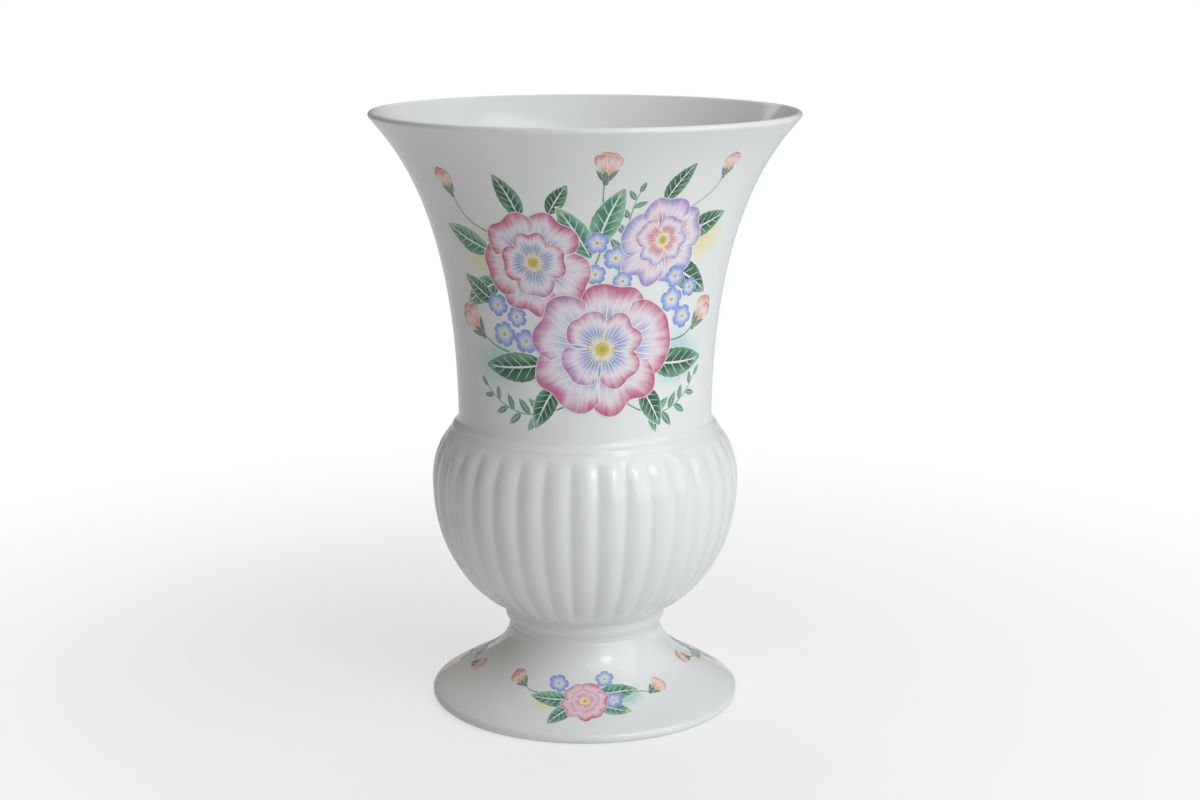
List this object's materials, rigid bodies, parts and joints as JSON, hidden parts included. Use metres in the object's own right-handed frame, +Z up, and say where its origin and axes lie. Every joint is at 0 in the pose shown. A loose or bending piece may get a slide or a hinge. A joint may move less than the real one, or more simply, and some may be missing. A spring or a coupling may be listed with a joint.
{
  "type": "flower vase",
  "caption": "Footed flower vase in glazed bone china with a flared neck, a ribbed bowl, a beaded waist, a domed hollow foot and printed floral transfers.",
  "frame": {"origin": "centre of the ground foot ring, on the surface the vase stands on", "axes": "+Z up along the vase's axis, -Y towards the front print, +X to the right of it"},
  "size_m": [0.163, 0.163, 0.23],
  "materials": {
    "china": "clear gloss glaze over warm white bone china",
    "slip": "fired slip, unglazed in the joint",
    "front_print": "fired enamel transfer of roses and small blossoms",
    "back_print": "fired enamel transfer of a small spray",
    "foot_print": "fired enamel transfer of leaves and buds"
  },
  "bodies": {
    "root": {"foot": "china", "foot_slip": "slip", "bowl": "china", "neck_joint_bead": "china", "neck": "china", "front_transfer": "front_print", "back_transfer": "back_print", "foot_transfer_1": "foot_print", "foot_transfer_2": "foot_print", "foot_transfer_3": "foot_print"}
  },
  "joints": []
}
